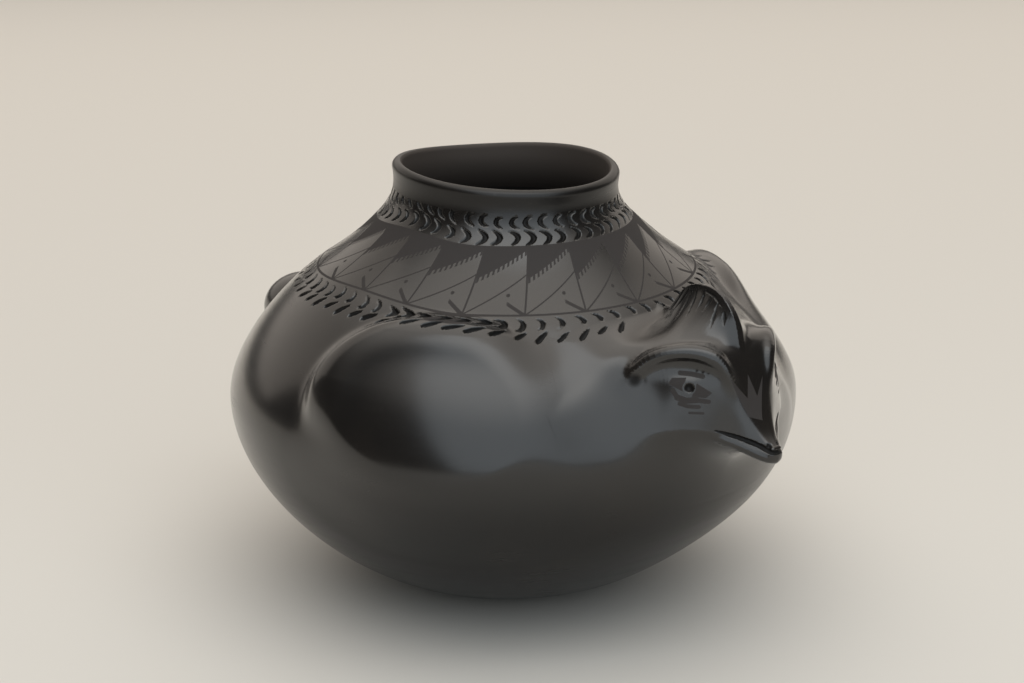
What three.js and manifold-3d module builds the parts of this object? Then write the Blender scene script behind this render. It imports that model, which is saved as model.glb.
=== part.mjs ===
// Bird effigy pot, hand-built from clay members: wall coils on a pressed base, with a modelled head,
// crest, brows, wings and tail luted on. Sizes are in millimetres, +Z is up and the head looks to -Y.
import * as THREE from 'three';
import { mergeVertices } from 'three/addons/utils/BufferGeometryUtils.js';
import Module from 'manifold-3d';

const wasm = await Module();
wasm.setup();

// Pot wall
const footRadius = 26;
const bellyRadius = 117.6;
const bellyHeight = 84;
const shoulderRadius = 79.4;
const shoulderHeight = 138.7;
const neckRadius = 54.2;
const neckHeight = 159.8;
const throatRadius = 47;
const throatHeight = 174.5;
const lipRadius = 47.6;
const lipHeight = 178.4;
const wall = 4.4;
const slipGap = 0.35;
const scarf = 3;
const roundSegments = 54;

// Head, measured forward from the pot's axis along the head's own middle line
const headPivot = 86;
const headYaw = THREE.MathUtils.degToRad(-10);
const beakTip = 152.3;

// Wings, measured round the pot from the middle of the head
const wingAngle = 59;
const wingHeight = 97;
const wingHalfLength = 67;
const wingHalfWidth = 43;
const wingTilt = THREE.MathUtils.degToRad(14);
const wingRise = 7.2;
const wingRidge = 4.2;
const padEdge = 0.6;
const padRoot = 3;

const clayBlack = 0x1d1b1a;
const burnished = { color: clayBlack, roughness: 0.28, metalness: 0 };
const satin = { color: 0x211e1c, roughness: 0.5, metalness: 0 };

// Outside line of the pot from the edge of the foot to the lip
const profile = new THREE.Path();
profile.moveTo(footRadius, 0);
profile.bezierCurveTo(68, 2.6, bellyRadius, 46, bellyRadius, bellyHeight);
profile.bezierCurveTo(bellyRadius, 101.5, 97, 126, shoulderRadius, shoulderHeight);
profile.bezierCurveTo(71, 144.6, 62.5, 151, neckRadius, neckHeight);
profile.bezierCurveTo(49.5, 164.8, throatRadius, 169, throatRadius, throatHeight);
profile.lineTo(lipRadius, lipHeight);
const profileLength = profile.getLength();

// Point at a distance along the outside line, moved inward by a depth
function wallPoint(distance, depth) {
  const share = THREE.MathUtils.clamp(distance / profileLength, 0, 1);
  const point = profile.getPoint(share);
  const along = profile.getTangent(share);
  return new THREE.Vector2(point.x - depth * along.y, point.y + depth * along.x);
}

// Distance along the outside line at which it reaches a height
function distanceAt(height) {
  let low = 0;
  let high = profileLength;
  for (let step = 0; step < 40; step += 1) {
    const middle = (low + high) / 2;
    if (profile.getPoint(middle / profileLength).y < height) {
      low = middle;
    } else {
      high = middle;
    }
  }
  return (low + high) / 2;
}

// Points on the wall between two distances, at a depth
function wallRun(from, to, depth, steps) {
  const points = [];
  for (let i = 0; i <= steps; i += 1) {
    points.push(wallPoint(THREE.MathUtils.lerp(from, to, i / steps), depth));
  }
  return points;
}

// Body turned about the pot's axis
function turned(points) {
  const geometry = new THREE.LatheGeometry(points, roundSegments);
  geometry.rotateX(Math.PI / 2);
  return geometry;
}

// Wall coil between two joints; both joints slope down toward the inside
function coil(from, to, steps) {
  const low = from + slipGap / 2;
  const high = to - slipGap / 2;
  const outer = wallRun(low, high, 0, steps);
  const inner = wallRun(high - scarf, low - scarf, wall, steps);
  return turned([...outer, ...inner, outer[0].clone()]);
}

// Closed body for cutting, welded and facing outward
function solid(geometry) {
  const bare = geometry.clone();
  bare.deleteAttribute('normal');
  bare.deleteAttribute('uv');
  const welded = mergeVertices(bare, 1e-4);
  const position = welded.attributes.position;
  const index = welded.index ? welded.index.array : [...Array(position.count).keys()];
  const triangles = [];
  let volume = 0;
  const a = new THREE.Vector3();
  const b = new THREE.Vector3();
  const c = new THREE.Vector3();
  for (let i = 0; i < index.length; i += 3) {
    const [p, q, r] = [index[i], index[i + 1], index[i + 2]];
    if (p === q || q === r || r === p) {
      continue;
    }
    a.fromBufferAttribute(position, p);
    b.fromBufferAttribute(position, q);
    c.fromBufferAttribute(position, r);
    volume += a.dot(b.cross(c)) / 6;
    triangles.push([p, q, r]);
  }
  const facing = volume < 0 ? triangles.map(([p, q, r]) => [p, r, q]) : triangles;
  const mesh = new wasm.Mesh({
    numProp: 3,
    vertProperties: Float32Array.from(position.array),
    triVerts: Uint32Array.from(facing.flat()),
  });
  return new wasm.Manifold(mesh);
}

function toGeometry(body) {
  const mesh = body.getMesh();
  const geometry = new THREE.BufferGeometry();
  geometry.setAttribute('position', new THREE.BufferAttribute(Float32Array.from(mesh.vertProperties), 3));
  geometry.setIndex(Array.from(mesh.triVerts));
  const flat = geometry.toNonIndexed();
  flat.computeVertexNormals();
  return flat;
}

// Skin over rings of points, closed at each end by a point
function skin(rings, first, last) {
  const points = [first, ...rings.flat(), last];
  const around = rings[0].length;
  const index = [];
  const at = (ring, i) => 1 + ring * around + (i % around);
  for (let i = 0; i < around; i += 1) {
    index.push(0, at(0, i + 1), at(0, i));
    for (let ring = 0; ring + 1 < rings.length; ring += 1) {
      index.push(at(ring, i), at(ring, i + 1), at(ring + 1, i + 1));
      index.push(at(ring, i), at(ring + 1, i + 1), at(ring + 1, i));
    }
    index.push(points.length - 1, at(rings.length - 1, i), at(rings.length - 1, i + 1));
  }
  const geometry = new THREE.BufferGeometry();
  geometry.setFromPoints(points);
  geometry.setIndex(index);
  return geometry;
}

// Body lofted along -Y through stations of reach, half width, top height and low height; the upper and
// lower halves of its sections are more or less square
function loft(stations, upperSquare, lowerSquare, around, along, grow) {
  const upper = new THREE.CatmullRomCurve3(
    stations.map((s) => new THREE.Vector3(s.half + grow, s.reach, s.top + grow)), false, 'centripetal');
  const lower = new THREE.CatmullRomCurve3(
    stations.map((s) => new THREE.Vector3(s.half + grow, s.reach, s.low - grow)), false, 'centripetal');
  const rings = [];
  const soften = (v, square) => Math.sign(v) * Math.abs(v) ** (2 / square);
  for (let k = 0; k <= along; k += 1) {
    const high = upper.getPoint(k / along);
    const low = lower.getPoint(k / along);
    const reach = (high.y + low.y) / 2;
    const half = (high.x + low.x) / 2;
    const middle = (high.z + low.z) / 2;
    const rise = (high.z - low.z) / 2;
    const ring = [];
    for (let i = 0; i < around; i += 1) {
      const turn = (i / around) * Math.PI * 2;
      const square = Math.sin(turn) > 0 ? upperSquare : lowerSquare;
      const across = half * soften(Math.cos(turn), square);
      ring.push(new THREE.Vector3(across, -reach, middle + rise * soften(Math.sin(turn), square)));
    }
    rings.push(ring);
  }
  const centre = (ring, push) => {
    const sum = ring.reduce((total, p) => total.add(p), new THREE.Vector3()).divideScalar(ring.length);
    sum.y -= push;
    return sum;
  };
  return skin(rings, centre(rings[0], 0), centre(rings[along], 0.6 + grow));
}

// Tapered roll of clay along a line of points
function roll(points, radii, around, along, grow) {
  const line = new THREE.CatmullRomCurve3(points, false, 'centripetal');
  const thickness = new THREE.CatmullRomCurve3(radii.map((r, i) => new THREE.Vector3(i, r, 0)), false, 'centripetal');
  const frames = line.computeFrenetFrames(along, false);
  const rings = [];
  for (let k = 0; k <= along; k += 1) {
    const centre = line.getPoint(k / along);
    const radius = thickness.getPoint(k / along).y + grow;
    const ring = [];
    for (let i = 0; i < around; i += 1) {
      const turn = (i / around) * Math.PI * 2;
      const spoke = frames.normals[k].clone().multiplyScalar(Math.cos(turn) * radius);
      spoke.addScaledVector(frames.binormals[k], Math.sin(turn) * radius);
      ring.push(spoke.add(centre));
    }
    rings.push(ring);
  }
  const start = points[0].clone().addScaledVector(frames.tangents[0], -radii[0] * 0.6 - grow);
  const end = points[points.length - 1].clone();
  end.addScaledVector(frames.tangents[along], radii[radii.length - 1] * 0.6 + grow);
  return skin(rings, start, end);
}

// Turns a body from the head's own frame into the pot's frame
function onHead(geometry) {
  geometry.translate(0, headPivot, 0);
  geometry.rotateZ(headYaw);
  geometry.translate(0, -headPivot, 0);
  return geometry;
}

// Whole pot outside, grown by the slip gap, for trimming what is luted to it
function potSolid() {
  const outer = wallRun(0, profileLength, -slipGap, 40);
  const top = outer[outer.length - 1];
  return solid(turned([
    new THREE.Vector2(0, -slipGap), ...outer, new THREE.Vector2(0, top.y)]));
}

// Head: cheeks broad at the wall, steep brow, then a short hooked beak
const headStations = [
  { reach: 80, half: 47, top: 136, low: 74 },
  { reach: 98, half: 44, top: 138, low: 74 },
  { reach: 112, half: 33.5, top: 138.5, low: 80 },
  { reach: 122, half: 27, top: 138.5, low: 84 },
  { reach: 129, half: 21.5, top: 138, low: 86.5 },
  { reach: 132.5, half: 17.5, top: 134, low: 87.5 },
  { reach: 134.8, half: 13.5, top: 122, low: 88 },
  { reach: 138, half: 9.5, top: 111.5, low: 88 },
  { reach: 142.5, half: 6.2, top: 102.2, low: 87.8 },
  { reach: 147.7, half: 4.2, top: 97, low: 87.8 },
  { reach: beakTip - 1.2, half: 2.6, top: 94.6, low: 88.8 },
];
const headBody = (grow) => onHead(loft(headStations, 3, 2, 30, 24, grow));

// Lip of clay below the mouth line
const jawStations = [
  { reach: 122, half: 12, top: 92.2, low: 85.6 },
  { reach: 134, half: 9.4, top: 92.2, low: 85.8 },
  { reach: 142, half: 6, top: 92.2, low: 86.6 },
  { reach: 149, half: 3.2, top: 92.2, low: 88 },
];
const jawBody = (grow) => onHead(loft(jawStations, 2.6, 2.6, 16, 8, grow));

// Crest blade on the middle line of the head, from the wall to the brow
function crestBody(grow) {
  const outline = new THREE.Shape();
  outline.moveTo(84 - grow, 128);
  outline.quadraticCurveTo(88 - grow, 147 + grow, 103, 149 + grow);
  outline.quadraticCurveTo(124 + grow, 149.5 + grow, 133.5 + grow, 134);
  outline.lineTo(126, 124);
  outline.closePath();
  const half = 2.4 + grow;
  const bevel = 1.2;
  const geometry = new THREE.ExtrudeGeometry(outline, {
    depth: 2 * (half - bevel), bevelEnabled: true, bevelThickness: bevel, bevelSize: bevel,
    bevelOffset: -bevel, bevelSegments: 3, curveSegments: 14 });
  geometry.translate(0, 0, bevel - half);
  const forward = new THREE.Vector3(0, -1, 0);
  const up = new THREE.Vector3(0, 0, 1);
  geometry.applyMatrix4(new THREE.Matrix4().makeBasis(forward, up, new THREE.Vector3(-1, 0, 0)));
  return onHead(geometry);
}

// Brow roll from behind the eye, over it and down beside the bridge of the beak
function browBody(side, grow) {
  const points = [
    new THREE.Vector3(side * 36.5, -107, 117.5),
    new THREE.Vector3(side * 33, -111, 125.5),
    new THREE.Vector3(side * 25, -119.5, 130),
    new THREE.Vector3(side * 15.5, -129.5, 130),
    new THREE.Vector3(side * 9.5, -134, 124.5),
  ];
  return onHead(roll(points, [1.6, 3, 3.4, 3.4, 2.6], 10, 16, grow));
}

// Wing pad lying on the wall: a ridge along its upper and back edge, fading low toward the head
function wingBody(side) {
  const around = 34;
  const outerShares = [0.2, 0.4, 0.58, 0.7, 0.8, 0.88, 0.95, 1];
  const innerShares = [1, 0.5];
  const middle = distanceAt(wingHeight);
  const place = (share, turn, lift) => {
    const soften = (v) => Math.sign(v) * Math.abs(v) ** 0.8;
    const back = wingHalfLength * share * soften(Math.cos(turn));
    const up = wingHalfWidth * share * soften(Math.sin(turn));
    const round = back * Math.cos(wingTilt) - up * Math.sin(wingTilt);
    const climb = back * Math.sin(wingTilt) + up * Math.cos(wingTilt);
    const angle = THREE.MathUtils.degToRad(wingAngle) + round / bellyRadius;
    const point = wallPoint(middle + climb, -lift);
    return new THREE.Vector3(side * point.x * Math.sin(angle), -point.x * Math.cos(angle), point.y);
  };
  const liftAt = (share, turn) => {
    const edge = THREE.MathUtils.smoothstep(0.6 * Math.cos(turn) + 0.8 * Math.sin(turn), -0.2, 0.5);
    const ridge = wingRidge * edge * Math.exp(-(((share - 0.82) / 0.13) ** 2));
    return slipGap + padEdge + wingRise * (1 - share ** 2.4) + ridge * (1 - share ** 12);
  };
  const ringAt = (share, lift) => [...Array(around).keys()].map((i) => {
    const turn = (i / around) * Math.PI * 2;
    return place(share, turn, lift(share, turn));
  });
  const outer = outerShares.map((share) => ringAt(share, liftAt));
  const inner = innerShares.map((share) => ringAt(share, () => -padRoot));
  return skin([...outer, ...inner], place(0, 0, liftAt(0, 0)), place(0, 0, -padRoot));
}

// Tail: rounded knob, sloping down away from the wall
const tailStations = [
  { reach: 92, half: 22, top: 115, low: 78 },
  { reach: 118, half: 20, top: 111.5, low: 79 },
  { reach: 134, half: 16.5, top: 107.8, low: 80.5 },
  { reach: 145, half: 11.5, top: 102.5, low: 83.5 },
  { reach: 151, half: 5.5, top: 96.5, low: 87.5 },
];
function tailBody() {
  const geometry = loft(tailStations, 2.3, 2.3, 24, 14, 0);
  geometry.rotateZ(Math.PI);
  return geometry;
}

// Wall coils from the foot to the lip
const baseJoint = distanceAt(24);
const bellyJoint = distanceAt(62);
const upperJoint = distanceAt(112);
const shoulderJoint = distanceAt(151);
const neckJoint = distanceAt(168.5);

const baseOuter = wallRun(0, baseJoint - slipGap / 2, 0, 8);
const baseInner = wallRun(baseJoint - slipGap / 2 - scarf, 0, wall, 8);
const baseBowl = turned([
  new THREE.Vector2(0, 0), ...baseOuter, ...baseInner, new THREE.Vector2(0, wall)]);

const lipRound = wall / 2;
const rimStart = neckJoint + slipGap / 2;
const rimOuter = wallRun(rimStart, profileLength, 0, 4);
const lipEdge = rimOuter[rimOuter.length - 1];
const rimInner = wallRun(profileLength, rimStart - scarf, wall, 4);
const lipCentre = lipEdge.clone().add(rimInner[0]).divideScalar(2);
const lipTop = [1, 2, 3, 4].map((i) => {
  const turn = (i / 5) * Math.PI;
  return new THREE.Vector2(lipCentre.x + lipRound * Math.cos(turn), lipCentre.y + lipRound * Math.sin(turn));
});
const rimCoil = turned([...rimOuter, ...lipTop, ...rimInner, rimOuter[0].clone()]);

// Luted members are trimmed to the wall and to each other, leaving the slip gap
const pot = potSolid();
const jaw = solid(jawBody(0)).subtract(pot);
const head = solid(headBody(0)).subtract(pot).subtract(solid(jawBody(slipGap)));
const headRoom = solid(headBody(slipGap));
const crest = solid(crestBody(0)).subtract(pot).subtract(headRoom);
const crestRoom = solid(crestBody(slipGap));
const brow = (side) => solid(browBody(side, 0)).subtract(pot).subtract(headRoom).subtract(crestRoom);
const browRoom = (side) => solid(browBody(side, slipGap));
const wing = (side) => solid(wingBody(side)).subtract(pot).subtract(headRoom).subtract(browRoom(side));

const part = new THREE.Group();
part.name = 'bird_effigy_pot';

function add(name, geometry, look) {
  const mesh = new THREE.Mesh(geometry, new THREE.MeshStandardMaterial(look));
  mesh.name = name;
  part.add(mesh);
}

add('base_bowl', toGeometry(solid(baseBowl)), burnished);
add('lower_belly_coil', toGeometry(solid(coil(baseJoint, bellyJoint, 5))), burnished);
add('upper_belly_coil', toGeometry(solid(coil(bellyJoint, upperJoint, 6))), burnished);
add('shoulder_coil', toGeometry(solid(coil(upperJoint, shoulderJoint, 5))), burnished);
add('neck_collar', toGeometry(solid(coil(shoulderJoint, neckJoint, 4))), satin);
add('rim_coil', toGeometry(solid(rimCoil)), satin);
add('head', toGeometry(head), burnished);
add('lower_beak', toGeometry(jaw), burnished);
add('crest', toGeometry(crest), burnished);
add('right_brow', toGeometry(brow(-1)), burnished);
add('left_brow', toGeometry(brow(1)), burnished);
add('right_wing', toGeometry(wing(-1)), burnished);
add('left_wing', toGeometry(wing(1)), burnished);
add('tail', toGeometry(solid(tailBody()).subtract(pot)), burnished);

export default part;
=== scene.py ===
# Bird effigy pot of black burnished clay, about 302 mm from beak to tail and 181 mm high.
import math

import bpy
import numpy as np
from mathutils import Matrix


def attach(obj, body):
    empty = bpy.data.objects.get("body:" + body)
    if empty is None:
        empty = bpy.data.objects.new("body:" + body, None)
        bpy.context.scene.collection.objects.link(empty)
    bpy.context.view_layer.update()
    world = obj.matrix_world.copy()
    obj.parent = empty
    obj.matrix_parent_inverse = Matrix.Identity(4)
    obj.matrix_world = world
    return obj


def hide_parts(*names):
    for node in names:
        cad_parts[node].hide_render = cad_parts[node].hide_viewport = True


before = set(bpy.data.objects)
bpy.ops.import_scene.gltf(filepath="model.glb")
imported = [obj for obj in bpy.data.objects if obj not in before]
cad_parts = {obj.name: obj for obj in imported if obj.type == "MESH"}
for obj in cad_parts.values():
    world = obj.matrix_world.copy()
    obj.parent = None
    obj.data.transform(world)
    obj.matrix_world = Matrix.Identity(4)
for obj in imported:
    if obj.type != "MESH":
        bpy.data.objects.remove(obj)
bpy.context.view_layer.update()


# Camera
# A long lens a little above the lip, looking at the near wing and the right side of the face.
# The picture is 1024 pixels wide, and the focal length is given in those pixels.
picture_width = 1024
focal_pixels = 2300
sensor_width = 36
camera_side = math.radians(-48)
camera_rise = math.radians(17.3)
camera_distance = 0.985
aim_height = 0.1035
aim_right = 0.00257



# Direction toward a side and a rise, both as angles
def toward(side, rise):
    return np.array([math.sin(side) * math.cos(rise), -math.cos(side) * math.cos(rise), math.sin(rise)])


aim = np.array([aim_right * math.cos(camera_side), aim_right * math.sin(camera_side), aim_height])
lens = bpy.data.cameras.new("camera")
lens.sensor_width = sensor_width
lens.lens = sensor_width * focal_pixels / picture_width
lens.clip_start = 0.01
camera = bpy.data.objects.new("camera", lens)
camera.location = aim + camera_distance * toward(camera_side, camera_rise)
camera.rotation_euler = (math.pi / 2 - camera_rise, 0, camera_side)
bpy.context.scene.collection.objects.link(camera)
bpy.context.scene.camera = camera
bpy.context.scene.view_settings.view_transform = "Standard"


# Base bowl
# The pancake of clay that was pressed into a shallow mould, with the small flat foot at its middle.
# It was scraped thin, slipped, and rubbed round and round with a stone until it shone.
mm = 0.001
wall = 4.4
scarf = 3.0
base_joint_height = 24.0
belly_radius = 117.6

# Places where the outside line of the wall changes its bend, each a radius and a height
foot_edge = (26, 0)
widest = (belly_radius, 84)
band_foot = (79.4, 138.7)
band_top = (54.2, 159.8)
throat = (47, 174.5)
lip_edge = (47.6, 178.4)
line_places = 2400
line_softness = 12


# Curve from the first place to the last, which leaves toward the second and arrives from the third
def bend(first, second, third, last, places=400):
    way = np.linspace(0, 1, places)[:, None]
    rest = 1 - way
    first, second, third, last = np.array([first, second, third, last], float)
    return rest ** 3 * first + 3 * rest ** 2 * way * second + 3 * rest * way ** 2 * third + way ** 3 * last


# Values evened out with their neighbours
def softened(values, reach):
    steps = np.arange(-3 * reach, 3 * reach + 1)
    weights = np.exp(-0.5 * (steps / reach) ** 2)
    padded = np.pad(values, 3 * reach, mode="reflect", reflect_type="odd")
    return np.convolve(padded, weights / weights.sum(), mode="valid")


# Outside line of the wall from foot to lip: radius, height and lean at each climb, the way along the line
drawn = np.concatenate([
    bend(foot_edge, (68, 2.6), (belly_radius, 46), widest),
    bend(widest, (belly_radius, 101.5), (97, 126), band_foot),
    bend(band_foot, (71, 144.6), (62.5, 151), band_top),
    bend(band_top, (49.5, 164.8), (47, 169), throat),
    bend(throat, (47.2, 175.8), (47.4, 177.1), lip_edge),
])
lengths = np.concatenate([[0], np.cumsum(np.hypot(*np.diff(drawn, axis=0).T))])
climb_steps = np.linspace(0, lengths[-1], line_places)
line_radius = softened(np.interp(climb_steps, lengths, drawn[:, 0]), line_softness)
line_height = softened(np.interp(climb_steps, lengths, drawn[:, 1]), line_softness)
line_lean = np.arctan2(np.gradient(line_height, climb_steps), np.gradient(line_radius, climb_steps))
wall_length = climb_steps[-1]


def climb_at(height):
    return float(np.interp(height, line_height, climb_steps))


# Share of the way from low to high, with a soft start and end
def smooth_step(value, low, high):
    share = np.clip((value - low) / (high - low), 0, 1)
    return share * share * (3 - 2 * share)


# Both wings, pads of clay beside the head: tilt, squareness and tuck at the lower back of their outline, the
# way their ridge faces, where it runs, and how wide it is inside and outside that line
wing_tilt = math.radians(2)
wing_square = 2.5
wing_tuck = 0.09
ridge_back = 0.6
ridge_up = 0.8
ridge_share = 0.84
ridge_inner = 0.20
ridge_outer = 0.10

# Each wing: side, angle and height of its middle, half sizes, rise of its flat at the front and back, and
# of the ridge along its upper edge
right_wing = dict(side=-1, middle=61.4, height=97, half_length=72, half_width=55,
                  front_rise=6.6, back_rise=6.6, ridge_rise=4.6)
left_wing = dict(side=1, middle=57.5, height=90, half_length=70, half_width=52.4,
                 front_rise=2.5, back_rise=6.4, ridge_rise=5.4)


# Rise of a wing; back and up run from -1 to 1 over it, and share is 1 on its outline
def wing_swell(angle, climb, side, middle, height, half_length, half_width,
               front_rise, back_rise, ridge_rise):
    round_way = (side * angle - math.radians(middle)) * belly_radius
    up_way = climb - climb_at(height)
    back = (round_way * math.cos(wing_tilt) + up_way * math.sin(wing_tilt)) / half_length
    up = (up_way * math.cos(wing_tilt) - round_way * math.sin(wing_tilt)) / half_width
    tuck = wing_tuck * smooth_step(-up, -0.5, 0.3) * smooth_step(back, 0.2, 0.8)
    outline = (np.abs(back) + tuck) ** wing_square + np.abs(up) ** wing_square
    share = outline ** (1 / wing_square)
    toward_ridge = (ridge_back * back + ridge_up * up) / np.maximum(share, 0.05)
    edge = smooth_step(toward_ridge, 0.0, 0.6)
    edge = edge * smooth_step(back, -0.75, 0.05) * smooth_step(up, -0.15, 0.3)
    front = smooth_step(-back, 0.1, 0.8)
    under = smooth_step(-up, -0.1, 0.45)
    fade = 0.62 - 0.3 * front - 0.6 * under + 0.25 * front * under
    flat = 1 - smooth_step(share, fade, 1.04 + 0.1 * under)
    spread = np.where(share < ridge_share, ridge_inner, ridge_outer)
    ridge = edge * np.exp(-((share - ridge_share) / spread) ** 2)
    rise = front_rise + (back_rise - front_rise) * smooth_step(back, -0.1, 0.6)
    return rise * flat + ridge_rise * ridge


# Full breast, more to the left: angle and height of its middle, its spread round and up, and its rise; and
# the depth of dents from the hand
breast_angle = 0.58
breast_height = 68
breast_spread_round = 0.80
breast_spread_up = 43
breast_rise = 5.5
broad_dents = 0.30
small_dents = 0.16


# Angle within half a turn of the head
def from_head(angle):
    return (angle + math.pi) % (2 * math.pi) - math.pi


# How far the outside stands off its turned line: wings, full breast and the unevenness of hand work
def swell(angle, climb):
    around = from_head(angle)
    wings = wing_swell(around, climb, **right_wing) + wing_swell(around, climb, **left_wing)
    breast = np.exp(-((around - breast_angle) / breast_spread_round) ** 2)
    breast = breast * np.exp(-((climb - climb_at(breast_height)) / breast_spread_up) ** 2)
    uneven = broad_dents * np.sin(2 * around + 0.7) + small_dents * np.sin(5 * around + 0.05 * climb)
    belly = smooth_step(climb, 6, 40) * (1 - smooth_step(climb, climb_at(132), climb_at(150)))
    return wings + breast_rise * breast + uneven * belly


# The neck tips down to one side. The lip was left wavy: its lift, and each wave's count, height and start.
neck_slope = 0.026
neck_side = math.radians(-48)
neck_tip_heights = (150, 178)
lip_lift = 0.7
lip_waves = [(2, -1.35, 0.79), (3, 0.44, 1.73)]
lip_wave_heights = (168, 182)


# Point of the wall at an angle from the head and a climb, standing off by a height
def wall_point(angle, climb, height):
    lean = np.interp(climb, climb_steps, line_lean)
    radius = np.interp(climb, climb_steps, line_radius) + height * np.sin(lean)
    level = np.interp(climb, climb_steps, line_height) - height * np.cos(lean)
    x = radius * np.sin(angle)
    y = -radius * np.cos(angle)
    down_side = x * math.cos(neck_side) + y * math.sin(neck_side)
    level = level - neck_slope * down_side * smooth_step(level, *neck_tip_heights)
    wave = lip_lift
    for count, size, start in lip_waves:
        wave = wave + size * np.cos(count * angle + start)
    level = level + wave * smooth_step(level, *lip_wave_heights)
    return np.stack([x, y, level], -1)


# Depth that rows of nail cuts give a place of the wall
def cut_depth(nail_rows, angle, climb):
    depth = np.zeros(np.broadcast(angle, climb).shape)
    for cut in nail_rows:
        depth = np.maximum(depth, cut(angle, climb))
    return depth


# Mesh from millimetres, with layers for cut depth and inside; a normal of zero is left to Blender
def make_mesh(name, points, faces, normals, carved=0, inside=0):
    mesh = bpy.data.meshes.new(name)
    mesh.from_pydata((points * mm).tolist(), [], faces)
    mesh.shade_smooth()
    for label, values in (("carved", carved), ("inside", inside)):
        layer = mesh.attributes.new(label, "FLOAT", "POINT")
        layer.data.foreach_set("value", np.full(len(points), values, dtype=np.float32))
    mesh.normals_split_custom_set_from_vertices(normals.tolist())
    piece = bpy.data.objects.new(name, mesh)
    bpy.context.scene.collection.objects.link(piece)
    return piece


def unit(vectors):
    return vectors / np.maximum(np.linalg.norm(vectors, axis=-1, keepdims=True), 1e-12)


# Direction that the inside of the wall faces
def inward_facing(turn, climbs):
    lean = np.interp(climbs, climb_steps, line_lean)[:, None]
    across = -np.sin(lean) * np.ones_like(turn)
    return np.stack([across * np.sin(turn), -across * np.cos(turn), np.cos(lean) * np.ones_like(turn)], -1)


# Faces between the rows of a grid that goes round the pot; a closed one joins its last row to its first
def ring_faces(rows, columns, closed=True):
    column = np.arange(columns)
    beside = (column + 1) % columns
    faces = []
    for row in range(rows if closed else rows - 1):
        low = row * columns
        high = ((row + 1) % rows) * columns
        faces += np.stack([low + column, low + beside, high + beside, high + column], 1).tolist()
    return faces


# Closed wall coil: outside rows at the given climbs, inside rows back down, joints sloping inward
def wall_coil(name, climbs, columns, inside_rows, nail_rows=(), closed_below=False):
    turn = np.arange(columns) * 2 * math.pi / columns
    around = turn[None, :]
    step = 0.2
    reach = np.concatenate([[climbs[0] - step], climbs, [climbs[-1] + step]])[:, None]
    depth = cut_depth(nail_rows, around, reach)
    outside = wall_point(around, reach, swell(around, reach) - depth)
    across = np.roll(outside, -1, 1) - np.roll(outside, 1, 1)
    along = np.zeros_like(outside)
    along[1:-1] = outside[2:] - outside[:-2]
    facing = unit(np.cross(across, along))[1:-1]
    inner = np.linspace(climbs[-1] - scarf, max(climbs[0] - scarf, 0), inside_rows)[:, None]
    inside = wall_point(around, inner, np.full((1, columns), -wall))
    grid = np.concatenate([outside[1:-1], inside])
    rows = len(grid)
    normals = np.concatenate([facing, inward_facing(turn, inner[:, 0])]).reshape(-1, 3)
    carved = np.concatenate([depth[1:-1], np.zeros(inside.shape[:2])]).reshape(-1)
    hidden = np.concatenate([np.zeros(depth[1:-1].shape), np.ones(inside.shape[:2])]).reshape(-1)
    faces = ring_faces(rows, columns, not closed_below)
    if closed_below:
        column = np.arange(columns)
        faces.append(column[::-1].tolist())
        faces.append(((rows - 1) * columns + column).tolist())
    return make_mesh(name, grid.reshape(-1, 3), faces, normals, carved, hidden)


# A value in a material's node tree; sums written with it become Math nodes
class Wire:
    def __init__(self, socket):
        self.socket = socket
        self.tree = socket.id_data

    def node(self, kind, settings, values, out=0):
        made = self.tree.nodes.new(kind)
        for name, value in settings.items():
            setattr(made, name, value)
        for name, value in values.items():
            if isinstance(value, Wire):
                self.tree.links.new(value.socket, made.inputs[name])
            else:
                made.inputs[name].default_value = value
        return Wire(made.outputs[out])

    def apply(self, operation, other=0.0):
        return self.node("ShaderNodeMath", {"operation": operation}, {0: self, 1: other})

    def __add__(self, other):
        return self.apply("ADD", other)

    def __sub__(self, other):
        return self.apply("SUBTRACT", other)

    def __rsub__(self, other):
        return self.node("ShaderNodeMath", {"operation": "SUBTRACT"}, {0: other, 1: self})

    def __mul__(self, other):
        return self.apply("MULTIPLY", other)

    def __truediv__(self, other):
        return self.apply("DIVIDE", other)

    def __abs__(self):
        return self.apply("ABSOLUTE")

    __radd__ = __add__
    __rmul__ = __mul__

    def ramp(self, low, high):
        values = {"Value": self, "From Min": low, "From Max": high, "To Min": 0.0, "To Max": 1.0}
        return self.node("ShaderNodeMapRange", {"interpolation_type": "SMOOTHSTEP"}, values)

    def part(self, name):
        return self.node("ShaderNodeSeparateXYZ", {}, {0: self}, out="XYZ".index(name))

    def grain(self, stretch, detail):
        placed = self.node("ShaderNodeVectorMath", {"operation": "MULTIPLY"}, {0: self, 1: stretch})
        return self.node("ShaderNodeTexNoise", {},
                         {"Vector": placed, "Scale": 1.0, "Detail": detail, "Roughness": 0.55})

    def mix(self, first, second):
        return self.node("ShaderNodeMix", {"data_type": "RGBA"}, {0: self, 6: first, 7: second}, out=2)


clay_black = (0.0032, 0.0028, 0.0026, 1)
clay_brown = (0.0080, 0.0063, 0.0051, 1)
cut_black = (0.0040, 0.0037, 0.0035, 1)
inside_brown = (0.0530, 0.0440, 0.0380, 1)
paint_grey = (0.0310, 0.0275, 0.0265, 1)

# Grains in a metre, across and up: clouds from the fire, streaks and hairlines from the stone, and grit
cloud_grain = (13, 13, 17)
streak_grain = (34, 34, 420)
hair_grain = (70, 70, 1900)
grit_grain = (520, 520, 520)

# Roughness that each of them adds, that a cut and the inside add, and that paint has
streak_rough = 0.16
hair_rough = 0.08
cloud_rough = 0.05
cut_rough = 0.35
inside_rough = 0.40
paint_rough = 0.72

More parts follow.
